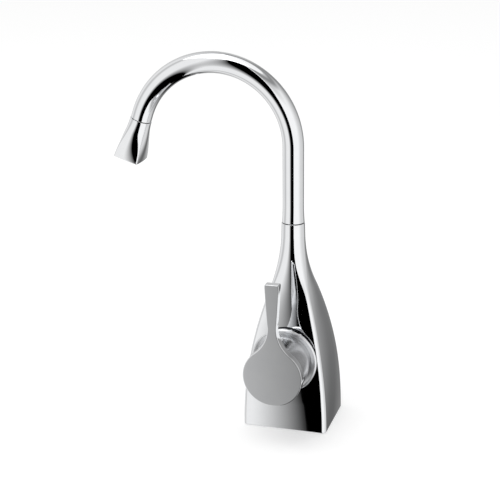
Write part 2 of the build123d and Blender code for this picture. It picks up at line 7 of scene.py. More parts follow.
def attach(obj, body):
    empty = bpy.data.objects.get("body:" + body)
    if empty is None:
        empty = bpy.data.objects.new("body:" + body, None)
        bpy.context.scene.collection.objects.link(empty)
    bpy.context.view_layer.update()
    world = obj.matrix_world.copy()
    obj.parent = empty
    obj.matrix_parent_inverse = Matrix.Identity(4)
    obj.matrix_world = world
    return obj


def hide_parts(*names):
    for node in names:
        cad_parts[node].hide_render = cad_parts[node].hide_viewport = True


# Instant hot water tap. The sizes in the dictionaries are millimetres unless they say otherwise.
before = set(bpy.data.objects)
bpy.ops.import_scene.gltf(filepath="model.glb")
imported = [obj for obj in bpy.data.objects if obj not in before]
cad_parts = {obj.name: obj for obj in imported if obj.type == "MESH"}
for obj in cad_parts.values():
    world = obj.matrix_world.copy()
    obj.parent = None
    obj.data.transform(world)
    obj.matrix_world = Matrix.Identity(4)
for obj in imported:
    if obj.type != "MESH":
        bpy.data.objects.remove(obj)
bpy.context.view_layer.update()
mm = 0.001


def linearColour(hexText):
    # sRGB hex to the linear colour that a shader takes
    shares = [int(hexText[place:place + 2], 16) / 255 for place in (0, 2, 4)]
    return [s / 12.92 if s <= 0.04045 else ((s + 0.055) / 1.055) ** 2.4 for s in shares] + [1.0]


def addNode(tree, kind, settings=None, inputs=None):
    # One node with its own settings, and its inputs as values or as the sockets that feed them
    node = tree.nodes.new("ShaderNode" + kind)
    for name, value in (settings or {}).items():
        setattr(node, name, value)
    for name, value in (inputs or {}).items():
        if isinstance(value, bpy.types.NodeSocket):
            tree.links.new(value, node.inputs[name])
        else:
            node.inputs[name].default_value = value
    return node


def emptyMaterial(name):
    material = bpy.data.materials.new(name)
    material.use_nodes = True
    material.node_tree.nodes.clear()
    return material, material.node_tree


def mapped(tree, size, stretch=(1, 1, 1)):
    # Object coordinates counted in steps of this many millimetres, drawn out by stretch
    place = addNode(tree, "TexCoord")
    steps = addNode(tree, "Mapping", {}, {
        "Vector": place.outputs["Object"], "Scale": [1 / (size * mm * part) for part in stretch]})
    return steps.outputs["Vector"]


def finishMaterial(tree, surface):
    addNode(tree, "OutputMaterial", {}, {"Surface": surface.outputs["BSDF"]})


# Materials. A noise keeps mostly between these two values, where a look reaches its two ends.
noiseLow, noiseHigh = 0.3, 0.7


def metalMaterial(name, look):
    # A metal with a slow ripple in its surface, a fine grain, and marks that change its gloss
    material, tree = emptyMaterial(name)
    marks = addNode(tree, "TexNoise", {}, {
        "Vector": mapped(tree, look["markSize"], look.get("markStretch", (1, 1, 1))),
        "Scale": 1.0, "Detail": 6.0, "Roughness": 0.6})
    low, high = look["roughness"]
    gloss = addNode(tree, "MapRange", {}, {
        "Value": marks.outputs["Fac"], "From Min": noiseLow, "From Max": noiseHigh,
        "To Min": low, "To Max": high})
    ripple = addNode(tree, "TexNoise", {}, {
        "Vector": mapped(tree, look["rippleSize"]), "Scale": 1.0, "Detail": 1.0})
    slow = addNode(tree, "Bump", {}, {
        "Height": ripple.outputs["Fac"], "Distance": look["rippleHeight"] * mm, "Strength": 1.0})
    grain = addNode(tree, "TexNoise", {}, {
        "Vector": mapped(tree, look["grainSize"], look.get("grainStretch", (1, 1, 1))),
        "Scale": 1.0, "Detail": 2.0})
    fine = addNode(tree, "Bump", {}, {
        "Height": grain.outputs["Fac"], "Distance": look["grainHeight"] * mm, "Strength": 1.0,
        "Normal": slow.outputs["Normal"]})
    tone = addNode(tree, "ValToRGB", {}, {"Fac": marks.outputs["Fac"]})
    tone.color_ramp.elements[0].position = noiseLow
    tone.color_ramp.elements[0].color = linearColour(look["deepColour"])
    tone.color_ramp.elements[1].position = noiseHigh
    tone.color_ramp.elements[1].color = linearColour(look["colour"])
    metal = addNode(tree, "BsdfPrincipled", {}, {
        "Base Color": tone.outputs["Color"], "Metallic": 1.0,
        "Roughness": gloss.outputs["Result"], "Normal": fine.outputs["Normal"]})
    finishMaterial(tree, metal)
    return material


# Chrome-plated brass, polished: a mirror, a shade cooler than white, with the faint waviness
# of a polished casting and marks from wiping that only show at a low angle
polishedChromeLook = {
    "colour": "F6F7F8", "deepColour": "F2F3F5", "roughness": (0.02, 0.045),
    "markSize": 11.0, "rippleSize": 16.0, "rippleHeight": 0.002,
    "grainSize": 1.2, "grainHeight": 0.00001}
# Chrome-plated brass, plated as it was turned: a satin sheen, in which what touches it still
# shows and what is further off melts to soft light and dark
satinChromeLook = {
    "colour": "F4F5F6", "deepColour": "EFF0F2", "roughness": (0.3, 0.36),
    "markSize": 7.0, "rippleSize": 16.0, "rippleHeight": 0.002,
    "grainSize": 0.6, "grainHeight": 0.0002}
# The hub behind the paddle, turned finer: clearer than the satin, and greyer with painted shade for its
# place behind the paddle
hubShadedChromeLook = dict(satinChromeLook, colour="DADBDD", deepColour="D3D4D6", roughness=(0.18, 0.22))
# The collar's back: painted shade, the satin chrome darkened for the shadowed gap under the collar's
# overhang
collarBackShadeLook = dict(satinChromeLook, colour="404144", deepColour="343538")
# Brass, turned: yellow metal with tool marks, 0.3 mm apart
turnedBrassLook = {
    "colour": "E3C27C", "deepColour": "CFA75C", "roughness": (0.18, 0.30),
    "markSize": 4.0, "rippleSize": 9.0, "rippleHeight": 0.004,
    "grainSize": 0.3, "grainHeight": 0.002}
# The same, painted dark grey brown: painted shade in the neck's seam and inside the nozzle
seamShadeBrassLook = dict(turnedBrassLook, colour="4C463E", deepColour="37322C")
# Copper pipe, drawn: reddish, with die lines along its length and a thin brown tarnish
drawnCopperLook = {
    "colour": "E0A286", "deepColour": "B9744F", "roughness": (0.22, 0.42),
    "markSize": 6.0, "markStretch": (1, 1, 4), "rippleSize": 9.0, "rippleHeight": 0.004,
    "grainSize": 0.25, "grainStretch": (1, 1, 30), "grainHeight": 0.003}
# Stainless steel, satin: neutral grey, slightly streaked
stainlessLook = {
    "colour": "C9C9CB", "deepColour": "B4B4B7", "roughness": (0.22, 0.34),
    "markSize": 3.0, "rippleSize": 8.0, "rippleHeight": 0.003,
    "grainSize": 0.2, "grainHeight": 0.001}


def mouldedMaterial(name, look):
    # Rubber, plastic and fired ceramic: a little colour change, and the mould's or lap's grain
    material, tree = emptyMaterial(name)
    cloud = addNode(tree, "TexNoise", {}, {
        "Vector": mapped(tree, look["cloudSize"]), "Scale": 1.0, "Detail": 5.0, "Roughness": 0.55})
    tone = addNode(tree, "ValToRGB", {}, {"Fac": cloud.outputs["Fac"]})
    tone.color_ramp.elements[0].position = noiseLow
    tone.color_ramp.elements[0].color = linearColour(look["deepColour"])
    tone.color_ramp.elements[1].position = noiseHigh
    tone.color_ramp.elements[1].color = linearColour(look["colour"])
    low, high = look["roughness"]
    gloss = addNode(tree, "MapRange", {}, {
        "Value": cloud.outputs["Fac"], "From Min": noiseLow, "From Max": noiseHigh,
        "To Min": high, "To Max": low})
    grain = addNode(tree, "TexVoronoi", {"feature": "SMOOTH_F1"}, {
        "Vector": mapped(tree, look["grainSize"]), "Scale": 1.0})
    bump = addNode(tree, "Bump", {}, {
        "Height": grain.outputs["Distance"], "Distance": look["grainHeight"] * mm, "Strength": 1.0})
    skin = addNode(tree, "BsdfPrincipled", {}, {
        "Base Color": tone.outputs["Color"], "Roughness": gloss.outputs["Result"],
        "IOR": look["ior"], "Normal": bump.outputs["Normal"]})
    finishMaterial(tree, skin)
    return material


# Nitrile rubber, moulded: nearly black and matt, with a greyish bloom
rubberLook = {
    "colour": "2B2B2C", "deepColour": "1E1E1F", "roughness": (0.62, 0.78), "ior": 1.52,
    "cloudSize": 3.0, "grainSize": 0.25, "grainHeight": 0.01}
# Alumina ceramic, fired and lapped: off-white, hard and glossy where it was lapped
ceramicLook = {
    "colour": "F3F1EA", "deepColour": "E8E4DA", "roughness": (0.12, 0.28), "ior": 1.76,
    "cloudSize": 2.5, "grainSize": 0.2, "grainHeight": 0.001}
# Acetal, moulded, natural: milky white with a soft waxy gloss
whiteAcetalLook = {
    "colour": "F0F0EC", "deepColour": "E4E4DE", "roughness": (0.32, 0.45), "ior": 1.48,
    "cloudSize": 4.0, "grainSize": 0.3, "grainHeight": 0.003}
# Acetal, moulded, black: the thin ring in the neck's seam, dark grey with a soft gloss
darkAcetalLook = {
    "colour": "303133", "deepColour": "242526", "roughness": (0.35, 0.5), "ior": 1.48,
    "cloudSize": 2.0, "grainSize": 0.3, "grainHeight": 0.003}

polishedChrome = metalMaterial("chromePlatedBrassPolished", polishedChromeLook)
satinChrome = metalMaterial("chromePlatedBrassSatin", satinChromeLook)
# The hub's chrome: the satin made clearer, and greyer with painted shade
hubShadedChrome = metalMaterial("chromePlatedBrassHubShade", hubShadedChromeLook)
# Painted shade for the collar's back: a dark copy of the satin chrome
collarBackShade = metalMaterial("chromePlatedBrassPaintedShade", collarBackShadeLook)
# The CAD nodes that stay as they are, by their finish
nodeFinishes = [
    (polishedChrome, ["screw_plug"]),
    (metalMaterial("brassTurned", turnedBrassLook), [
        "base_plate", "bonnet", "spindle", "lever_insert", "spout_spigot"]),
    # Painted shade: the bush in the neck's seam and the ring inside the nozzle, painted dark
    (metalMaterial("brassPaintedSeamShade", seamShadeBrassLook), ["nozzle_bush", "outlet_ring"]),
    (metalMaterial("copperDrawn", drawnCopperLook), ["inlet_tube", "feed_tube", "return_tube"]),
    (metalMaterial("stainlessSteelSatin", stainlessLook), [
        "base_plate_screws", "spindle_clip", "grub_screw", "return_spring", "outlet_screen"]),
    (mouldedMaterial("nitrileRubberMoulded", rubberLook), [
        "base_gasket", "seat_seal", "bonnet_seal", "spindle_seals", "spigot_seals", "nozzle_seal"]),
    (mouldedMaterial("aluminaCeramicLapped", ceramicLook), ["fixed_disc", "drive_disc"]),
    (mouldedMaterial("acetalNaturalMoulded", whiteAcetalLook), [
        "thrust_washer", "split_ring", "flow_straightener"]),
    (mouldedMaterial("acetalBlackMoulded", darkAcetalLook), ["neck_washer"])]
for finish, names in nodeFinishes:
    for name in names:
        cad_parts[name].data.materials.clear()
        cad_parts[name].data.materials.append(finish)
print("materials on the CAD nodes done")


# Mesh helpers
sharpAngle = math.radians(30)


def fullTurn(count, shift=0):
    # The angles of a full turn in this many steps
    return [2 * math.pi * (step + shift) / count for step in range(count)]


def roundedEdge(radius, count, first=0):
    # A quarter turn in steps, as two distances: one grows from 0 to the radius, one shrinks to 0
    turns = [math.pi / 2 * step / count for step in range(first, count + 1)]
    return [(radius * (1 - math.cos(turn)), radius * (1 - math.sin(turn))) for turn in turns]


def skinRings(rings, loop=False, capFirst=False, capLast=False):
    # Quads from each ring of points to the next. A loop joins the last ring to the first.
    count = len(rings[0])
    points = [point for ring in rings for point in ring]
    faces = []
    for index in range(len(rings) if loop else len(rings) - 1):
        here = index * count
        there = (index + 1) % len(rings) * count
        for step in range(count):
            after = (step + 1) % count
            faces.append((here + step, here + after, there + after, there + step))
    if capFirst:
        faces.append(tuple(range(count - 1, -1, -1)))
    if capLast:
        faces.append(tuple(range(len(points) - count, len(points))))
    return points, faces


def solidObject(name, points, faces):
    # An object from a closed mesh in millimetres, with its faces turned outwards
    mesh = bpy.data.meshes.new(name)
    mesh.from_pydata([Vector(point) * mm for point in points], [], faces)
    work = bmesh.new()
    work.from_mesh(mesh)
    bmesh.ops.recalc_face_normals(work, faces=work.faces)
    work.to_mesh(mesh)
    work.free()
    piece = bpy.data.objects.new(name, mesh)
    bpy.context.scene.collection.objects.link(piece)
    return piece


def dress(piece, materials):
    # The piece's materials, and smooth shading that stops at its sharp edges
    for material in materials:
        piece.data.materials.append(material)
    piece.data.shade_smooth()
    piece.data.set_sharp_from_angle(angle=sharpAngle)


def makePiece(name, points, faces, materials, body, node):
    piece = solidObject(name, points, faces)
    dress(piece, materials)
    weighted = piece.modifiers.new("evenNormals", "WEIGHTED_NORMAL")
    weighted.keep_sharp = True
    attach(piece, body)
    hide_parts(node)
    return piece


def roundCorners(corners, segments=6):
    # A closed outline of (along, out, radius), with each corner that has a radius turned to an arc
    outline = []
    for index, (along, out, radius) in enumerate(corners):
        corner = Vector((along, out))
        if radius == 0:
            outline.append(tuple(corner))
            continue
        before = (Vector(corners[index - 1][:2]) - corner).normalized()
        after = (Vector(corners[(index + 1) % len(corners)][:2]) - corner).normalized()
        half = before.angle(after) / 2
        middle = corner + (before + after).normalized() * radius / math.sin(half)
        start = corner + before * radius / math.tan(half) - middle
        sweepAngle = start.angle_signed(corner + after * radius / math.tan(half) - middle)
        for step in range(segments + 1):
            turn = Matrix.Rotation(-sweepAngle * step / segments, 2)
            outline.append(tuple(middle + turn @ start))
    return outline


def crownedArcs(halfX, halfY, corner, side, halvings=50):
    # How far the arcs of the sides across x and y turn before they meet the corner's arc, found
    # by halving, and the middle of that arc
    lowest, highest = 0.0, math.pi / 2
    for _ in range(halvings):
        turn = (lowest + highest) / 2
        middleX = halfX - side + (side - corner) * math.cos(turn)
        middleY = (side - corner) * math.sin(turn)
        reach = math.hypot(middleX, middleY - (halfY - side)) - (side - corner)
        lowest, highest = (lowest, turn) if reach > 0 else (turn, highest)
    return turn, math.atan2(middleX, middleY - (halfY - side)), (middleX, middleY)


def crownedSection(halfX, halfY, corner, side, perSide=24, perCorner=14):
    # A rounded rectangle of points whose four sides bulge as arcs of one radius
    turnX, turnY, middle = crownedArcs(halfX, halfY, corner, side)
    half = perSide // 2
    turns = [turnX * step / half for step in range(half)]
    quarter = [(halfX - side + side * math.cos(turn), side * math.sin(turn)) for turn in turns]
    for step in range(perCorner + 1):
        turn = turnX + (math.pi / 2 - turnY - turnX) * step / perCorner
        quarter.append((middle[0] + corner * math.cos(turn), middle[1] + corner * math.sin(turn)))
    turns = [turnY * step / half for step in range(half - 1, -1, -1)]
    quarter += [(side * math.sin(turn), halfY - side + side * math.cos(turn)) for turn in turns]
    back = quarter[::-1]
    return (quarter[:-1] + [(-x, y) for x, y in back][:-1]
            + [(-x, -y) for x, y in quarter][:-1] + [(x, -y) for x, y in back][:-1])


def flare(height, footHalf, neckHalf, start, turn, top):
    # Half width of a foot that narrows to a neck by two tangent arcs, as in the CAD model
    rise, drop = top - start, footHalf - neckHalf
    bothRadii = (rise ** 2 + drop ** 2) / (2 * drop)
    footArc = bothRadii * (turn - start) / rise
    neckArc = bothRadii - footArc
    if height <= start:
        return footHalf
    if height <= turn:
        return footHalf - footArc + math.sqrt(footArc ** 2 - (height - start) ** 2)
    if height < top:
        return neckHalf + neckArc - math.sqrt(neckArc ** 2 - (top - height) ** 2)
    return neckHalf


# Spout tube: riser, one large bend and a short tail, with a soft flare on the neck's ring
spout = {
    "radius": 6.35, "bore": 5.35, "foot": 126.5, "bendStart": 172.0, "bendRadius": 48.1,
    "tilt": 18.3, "tail": 3.65, "flareRadius": 6.8, "flareLength": 10.5, "flarePower": 1.84,
    "edge": 0.22, "aroundSteps": 96, "bendSteps": 150, "flareSteps": 24, "boreSteps": 60,
    "edgeSteps": 4}  # tilt in degrees from upright


def spoutPlace(run):
    # The point and direction on the spout's centre line, a distance up from its foot
    riser = spout["bendStart"] - spout["foot"]
    bendAngle = math.radians(180 - spout["tilt"])
    angle = min(max(run - riser, 0) / spout["bendRadius"], bendAngle)
    along = Vector((0, -math.sin(angle), math.cos(angle)))
    point = Vector((0, -spout["bendRadius"] * (1 - math.cos(angle)),
                    spout["bendStart"] + spout["bendRadius"] * math.sin(angle)))
    past = run - riser - spout["bendRadius"] * bendAngle
    return point + along * (past if past > 0 else min(run - riser, 0)), along


def spoutRing(run, radius):
    # A ring square to the centre line there
    point, along = spoutPlace(run)
    side = Vector((1, 0, 0))
    out = along.cross(side)
    turns = fullTurn(spout["aroundSteps"])
    return [point + radius * (side * math.cos(turn) + out * math.sin(turn)) for turn in turns]


def makeSpoutTube():
    look = spout
    edge, length, radius = look["edge"], look["flareLength"], look["radius"]
    riser = look["bendStart"] - look["foot"]
    end = riser + look["bendRadius"] * math.radians(180 - look["tilt"]) + look["tail"]
    rings = [spoutRing(grown, look["flareRadius"] - left)
             for grown, left in roundedEdge(edge, look["edgeSteps"])]
    for step in range(1, look["flareSteps"] + 1):
        run = edge + (length - edge) * step / look["flareSteps"]
        swell = (look["flareRadius"] - radius) * (1 - run / length) ** look["flarePower"]
        rings.append(spoutRing(run, radius + swell))
    bendEnd = end - look["tail"]
    for step in range(look["bendSteps"] + 1):
        rings.append(spoutRing(riser + (bendEnd - riser) * step / look["bendSteps"], radius))
    rings += [spoutRing(end - left, radius - grown)
              for grown, left in roundedEdge(edge, look["edgeSteps"])]
    rings.append(spoutRing(end, look["bore"]))
    for step in range(look["boreSteps"] + 1):
        rings.append(spoutRing(bendEnd + (riser - bendEnd) * step / look["boreSteps"], look["bore"]))
    rings.append(spoutRing(0, look["bore"]))
    points, faces = skinRings(rings, loop=True)
    return makePiece("spoutTubeBent", points, faces, [polishedChrome], "spout", "spout_tube")


makeSpoutTube()
print("spout tube done")

# Nozzle: round at its seam, a rounded square with bulging sides at its mouth
nozzle = {
    "length": 25.4, "seam": 0.35, "neckRadius": 6.55, "halfWide": 9.4, "halfThick": 8.2,
    "bend": 17.5, "mouthCorner": 1.0, "cornerSettled": 0.82, "mouthSide": 75.0, "sidePower": 1.3,
    "seamEdge": 0.12, "mouthEdge": 0.3, "boreEdge": 0.3, "cavityRadius": 6.0,
    "cavityStart": 8.4, "threadRadius": 5.25, "roundSpare": 0.05, "alongSteps": 44,
    "seamSteps": 3, "mouthSteps": 5, "boreSteps": 4}


def nozzleRing(place, inset=0.0, radius=None):
    # A ring across the nozzle, a distance from its seam: its outside, or a circle of a radius
    end = (spout["bendStart"] - spout["foot"]
           + spout["bendRadius"] * math.radians(180 - spout["tilt"]) + spout["tail"])
    origin, along = spoutPlace(end)
    side = Vector((1, 0, 0))
    out = along.cross(side)
    neck = nozzle["neckRadius"]
    spare = nozzle["roundSpare"]  # keeps a circle's corner a little smaller than its sides
    if radius is not None:
        section = crownedSection(radius, radius, radius - spare, radius + spare)
    else:
        height = nozzle["length"] - place
        share = place / nozzle["length"]
        wide, thick = (flare(height, nozzle[name], neck, 0, nozzle["bend"], nozzle["length"]) - inset
                       for name in ("halfWide", "halfThick"))
        bulge = (neck + spare) * (nozzle["mouthSide"] / neck) ** (share ** nozzle["sidePower"])
        settled = min(1.0, share / nozzle["cornerSettled"])
        corner = neck - spare + (nozzle["mouthCorner"] - neck) * settled ** 2 * (3 - 2 * settled)
        section = crownedSection(wide, thick, min(corner, thick - spare) - inset, bulge)
    return [origin + along * place + side * x + out * y for x, y in section]


def makeNozzleShell():
    low, high = nozzle["seam"], nozzle["length"]
    edge, mouth, bore = nozzle["seamEdge"], nozzle["mouthEdge"], nozzle["boreEdge"]
    cavity, thread, count = nozzle["cavityRadius"], nozzle["threadRadius"], nozzle["alongSteps"]
    rings = [nozzleRing(low + grown, left) for grown, left in roundedEdge(edge, nozzle["seamSteps"])]
    for step in range(1, count + 1):
        rings.append(nozzleRing(low + edge + (high - mouth - low - edge) * step / count))
    for grown, left in roundedEdge(mouth, nozzle["mouthSteps"], 1):
        rings.append(nozzleRing(high - left, grown))
    for grown, left in roundedEdge(bore, nozzle["boreSteps"]):
        rings.append(nozzleRing(high - grown, radius=cavity + left))
    rings.append(nozzleRing(nozzle["cavityStart"], radius=cavity))
    rings.append(nozzleRing(nozzle["cavityStart"], radius=thread))
    rings.append(nozzleRing(low, radius=thread))
    points, faces = skinRings(rings, loop=True)
    return makePiece("nozzleCast", points, faces, [polishedChrome], "spout", "nozzle_shell")


makeNozzleShell()
print("nozzle done")

leverAxis = 45.2  # how high the lever turns, for the collar, the body's boss and the lever

# Collar: the bezel round the hub, a shallow dish out to a bevelled rim
collar = {
    "radius": 20.0, "bore": 11.15, "back": 20.6, "front": 21.85, "bevelAlong": 0.6, "bevelOut": 0.75,
    "rimFlat": 0.2, "dishEdge": 21.6, "dishFloor": 21.05, "soft": 0.15, "rimSoft": 0.02,
    "backDepth": 0.01, "aroundSteps": 144}


def axisRing(along, radius, angles):
    # A ring of points about the lever's axis
    return [(along, radius * math.sin(angle), leverAxis + radius * math.cos(angle))
            for angle in angles]


def makeCollarRing():
    rim = collar["radius"] - collar["bevelOut"]
    outline = roundCorners([
        (collar["back"], collar["bore"], 0),
        (collar["back"], collar["radius"], 0),
        (collar["front"] - collar["bevelAlong"], collar["radius"], collar["soft"]),
        (collar["front"], rim, collar["soft"]),
        (collar["front"], rim - collar["rimFlat"], collar["rimSoft"]),
        (collar["dishEdge"], rim - 2 * collar["rimFlat"], collar["soft"]),
        (collar["dishFloor"], collar["bore"], 0)])
    angles = fullTurn(collar["aroundSteps"])
    rings = [axisRing(along, out, angles) for along, out in outline]
    points, faces = skinRings(rings, loop=True)
    piece = makePiece("collarTurned", points, faces, [satinChrome, collarBackShade], "base",
                      "collar_ring")
    # The collar's back face gets the painted shade of the gap under its overhang
    shadedBackEnd = (collar["back"] + collar["backDepth"]) * mm
    for face in piece.data.polygons:
        face.material_index = 1 if face.center.x < shadedBackEnd else 0
    return piece


makeCollarRing()
print("collar done")

# Body: four-sided at its foot and round at its neck, hollow, with a round boss for the collar.
# Its sides are crowned, hardly at the foot and more and more on the way up, until they are the
# neck. sections holds a height, the sides' radius and the corner's radius there. The polished
# crown of the lower sides is too slight for the mesh to hold inside the solid, so below
# crownStart it is in the normals alone, and from crownFull up it is all in the mesh. seenFrom is
# in degrees from y, and leastFacing is a cosine.
bodyCast = {
    "halfX": 21.85, "halfY": 26.0, "neck": 7.0, "startX": 17.5, "startY": 0.0, "turn": 85.5,
    "top": 118.0, "height": 126.0, "corner": 2.3, "solidCornerStart": 85.5, "seenFrom": 17.0,
    "crownStart": 66.0, "crownFull": 86.0, "spareStart": 60.0,
    "sections": [(0, 330, 2.8), (18, 292, 2.8), (40, 250, 2.4), (50, 215, 2.3), (66, 165, 2.3),
                 (74, 125, 2.3), (81, 90, 2.4), (84.5, 72, 2.8), (88, 55, 3.5), (91.3, 45, 4.5),
                 (94.7, 36, 5.2), (98, 28, 6.0), (101.7, 22, 6.5), (105, 17, 6.8), (109, 13, 7.0),
                 (115, 9, 7.0), (118, 7, 7.0), (126, 7, 7.0)],
    "footEdge": 0.3, "topEdge": 0.2, "step": 1.5, "wall": 2.6, "cavityTop": 88.0,
    "boreRadius": 5.0, "boreFloor": 104.0, "leastStep": 0.05, "leastCorner": 0.5, "flattest": 1e6,
    "edgeSteps": 4, "cavitySteps": 24, "fitRounds": 4, "slopeReach": 0.05, "skinDepth": 0.03,
    "leastFacing": 0.95}
boss = {
    "radius": 18.9, "back": 14.0, "front": 20.6, "pocketRadius": 20.15, "barrelRadius": 14.5,
    "barrelBack": -2.5, "barrelOverlap": 1.0, "boreRadius": 10.5, "boreBack": 0.0, "cutEnd": 30.0,
    "spare": 0.02, "rimSteps": 144, "boreSteps": 96}
knownSizes = {}  # what bodySizes has worked out, by height


def bodySizes(height):
    # Half sizes of the body's section, its corner's radius, the radius of its bulging sides and
    # the crown that is left to the normals, as the slope that each millimetre sideways adds.
    # Where the section is softer than the solid's, its sides stand further out, so that the
    # outline in the view is the same.
    look = bodyCast
    if height in knownSizes:
        return knownSizes[height]
    halfX = flare(height, look["halfX"], look["neck"], look["startX"], look["turn"], look["top"])
    halfY = flare(height, look["halfY"], look["neck"], look["startY"], look["turn"], look["top"])
    rows = look["sections"]
    index = max(i for i in range(len(rows) - 1) if rows[i][0] <= max(height, 0))
    share = min(1.0, max(0.0, (height - rows[index][0]) / (rows[index + 1][0] - rows[index][0])))
    crown, corner = (a * (b / a) ** share for a, b in zip(rows[index][1:], rows[index + 1][1:]))
    start, full = look["crownStart"], look["crownFull"]
    inMesh = min(1.0, max(0.0, (height - start) / (full - start)))
    inMesh = inMesh ** 2 * (3 - 2 * inMesh)
    corner = min(corner, min(halfX, halfY) - look["leastStep"])
    side = max(1 / max(inMesh / crown, 1 / look["flattest"]), max(halfX, halfY) + look["leastStep"])
    across, along = (part(math.radians(look["seenFrom"])) for part in (math.sin, math.cos))
    start = look["solidCornerStart"]
    solidShare = min(1.0, max(0.0, (height - start) / (look["height"] - start)))
    solidCorner = look["corner"] + (look["neck"] - look["corner"]) * solidShare
    solidReach = halfX * across + halfY * along - solidCorner * (across + along - 1)
    if height > look["spareStart"]:
        for _ in range(look["fitRounds"]):
            _, turnY, middle = crownedArcs(halfX, halfY, corner, side)
            reach = (middle[0] * across + middle[1] * along + corner
                     if turnY < math.radians(look["seenFrom"]) else (halfY - side) * along + side)
            spare = (solidReach - reach) / (across + along)
            halfX, halfY = halfX + spare, halfY + spare
            side = max(side, max(halfX, halfY) + look["leastStep"])
    knownSizes[height] = halfX, halfY, corner, side, (1 - inMesh) / crown
    return knownSizes[height]


def bodyRing(height, inset=0.0):
    # A level ring round the body, this far inside its skin
    halfX, halfY, corner, side, _ = bodySizes(height)
    corner = max(corner - inset, bodyCast["leastCorner"])
    section = crownedSection(halfX - inset, halfY - inset, corner, side - inset)
    return [(x, y, height) for x, y in section]


def bodyOffset(x, y, height):
    # How far a point lies outside the section at a height, and the way from the skin to it
    halfX, halfY, corner, side, _ = bodySizes(height)
    turnX, turnY, middle = crownedArcs(halfX, halfY, corner, side)
    fromX = (abs(x) - halfX + side, abs(y))
    fromY = (abs(x), abs(y) - halfY + side)
    if math.atan2(fromX[1], fromX[0]) < turnX:
        away, radius = fromX, side
    elif math.atan2(fromY[0], fromY[1]) < turnY:
        away, radius = fromY, side
    else:
        away, radius = (abs(x) - middle[0], abs(y) - middle[1]), corner
    length = math.hypot(*away)
    return length - radius, (math.copysign(away[0], x) / length, math.copysign(away[1], y) / length)


def bodyNormal(point):
    # The way the polished skin faces at a point in metres, and how far off the skin it is
    x, y, z = (value / mm for value in point)
    z = round(z, 3)  # so that points of one ring share their sizes
    reach = bodyCast["slopeReach"]
    off, flat = bodyOffset(x, y, z)
    rise = (bodyOffset(x, y, z + reach)[0] - bodyOffset(x, y, z - reach)[0]) / (2 * reach)
    crown = bodySizes(z)[-1]
    normal = Vector((*flat, rise)).normalized() + Vector((x, y, 0)) * crown
    return normal.normalized(), abs(off)


def axisRod(radius, low, high, count):
    # A solid cylinder about the lever's axis
    angles = fullTurn(count, 0.5)
    return skinRings([axisRing(low, radius, angles), axisRing(high, radius, angles)],
                     capFirst=True, capLast=True)


def uprightRing(x, y, height, radius, count):
    # A level ring of points about an upright axis
    return [(x + radius * math.cos(turn), y + radius * math.sin(turn), height)
            for turn in fullTurn(count)]


def combine(piece, name, points, faces, operation):
    # Joins a solid to a piece or cuts it out, and keeps the result as the piece's own mesh
    tool = solidObject(name, points, faces)
    change = piece.modifiers.new(name, "BOOLEAN")
    change.object = tool
    change.operation = operation
    change.solver = "EXACT"
    bpy.context.view_layer.update()
    changed = piece.evaluated_get(bpy.context.evaluated_depsgraph_get())
    shaped = bpy.data.meshes.new_from_object(changed)
    piece.modifiers.remove(change)
    piece.data = shaped
    bpy.data.objects.remove(tool)


def polishedNormals(mesh):
    # The skin's own normals on every face that lies in it. A zero leaves a corner as it is.
    look = bodyCast
    facings = [bodyNormal(vertex.co) for vertex in mesh.vertices]
    normals = [Vector((0, 0, 0))] * len(mesh.loops)
    for face in mesh.polygons:
        facing = sum((facings[index][0] for index in face.vertices), Vector()).normalized()
        onSkin = (all(facings[index][1] < look["skinDepth"] for index in face.vertices)
                  and facing.dot(face.normal) > look["leastFacing"])
        if onSkin and face.center.z > look["footEdge"] * mm:
            for loop in face.loop_indices:
                normals[loop] = facings[mesh.loops[loop].vertex_index][0]
    mesh.normals_split_custom_set(normals)


def makeBodyShell():
    # Down the inside, up the outside and down the bore, then the boss and the valve's barrel
    look = bodyCast
    foot, top, wall, height = look["footEdge"], look["topEdge"], look["wall"], look["height"]
    rings = [bodyRing(look["cavityTop"], wall)]
    count = look["cavitySteps"]
    rings += [bodyRing(look["cavityTop"] * (1 - step / count), wall) for step in range(1, count + 1)]
    rings += [bodyRing(grown, left) for grown, left in roundedEdge(foot, look["edgeSteps"])]
    count = int((height - top - foot) / look["step"])
    rings += [bodyRing(foot + (height - top - foot) * step / count) for step in range(1, count + 1)]
    for grown, left in roundedEdge(top, look["edgeSteps"], 1):
        rings.append(bodyRing(height - left, grown))
    for end in (height, look["boreFloor"]):
        rings.append(uprightRing(0, 0, end, look["boreRadius"], len(rings[0])))
    piece = solidObject("bodyCast", *skinRings(rings, capFirst=True, capLast=True))
    front, back, end = boss["front"], boss["back"], boss["cutEnd"]
    rod = axisRod(boss["radius"], back, front + boss["spare"], boss["rimSteps"])
    combine(piece, "boss", *rod, "UNION")
    rod = axisRod(boss["barrelRadius"], boss["barrelBack"], back + boss["barrelOverlap"],
                  boss["boreSteps"])
    combine(piece, "barrel", *rod, "UNION")
    rod = axisRod(boss["pocketRadius"], front, end, boss["rimSteps"])
    combine(piece, "pocket", *rod, "DIFFERENCE")
    rod = axisRod(boss["boreRadius"], boss["boreBack"], end, boss["boreSteps"])
    combine(piece, "valveBore", *rod, "DIFFERENCE")
    dress(piece, [polishedChrome])
    polishedNormals(piece.data)
    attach(piece, "base")
    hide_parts("body_shell")
    return piece


makeBodyShell()
print("body done")

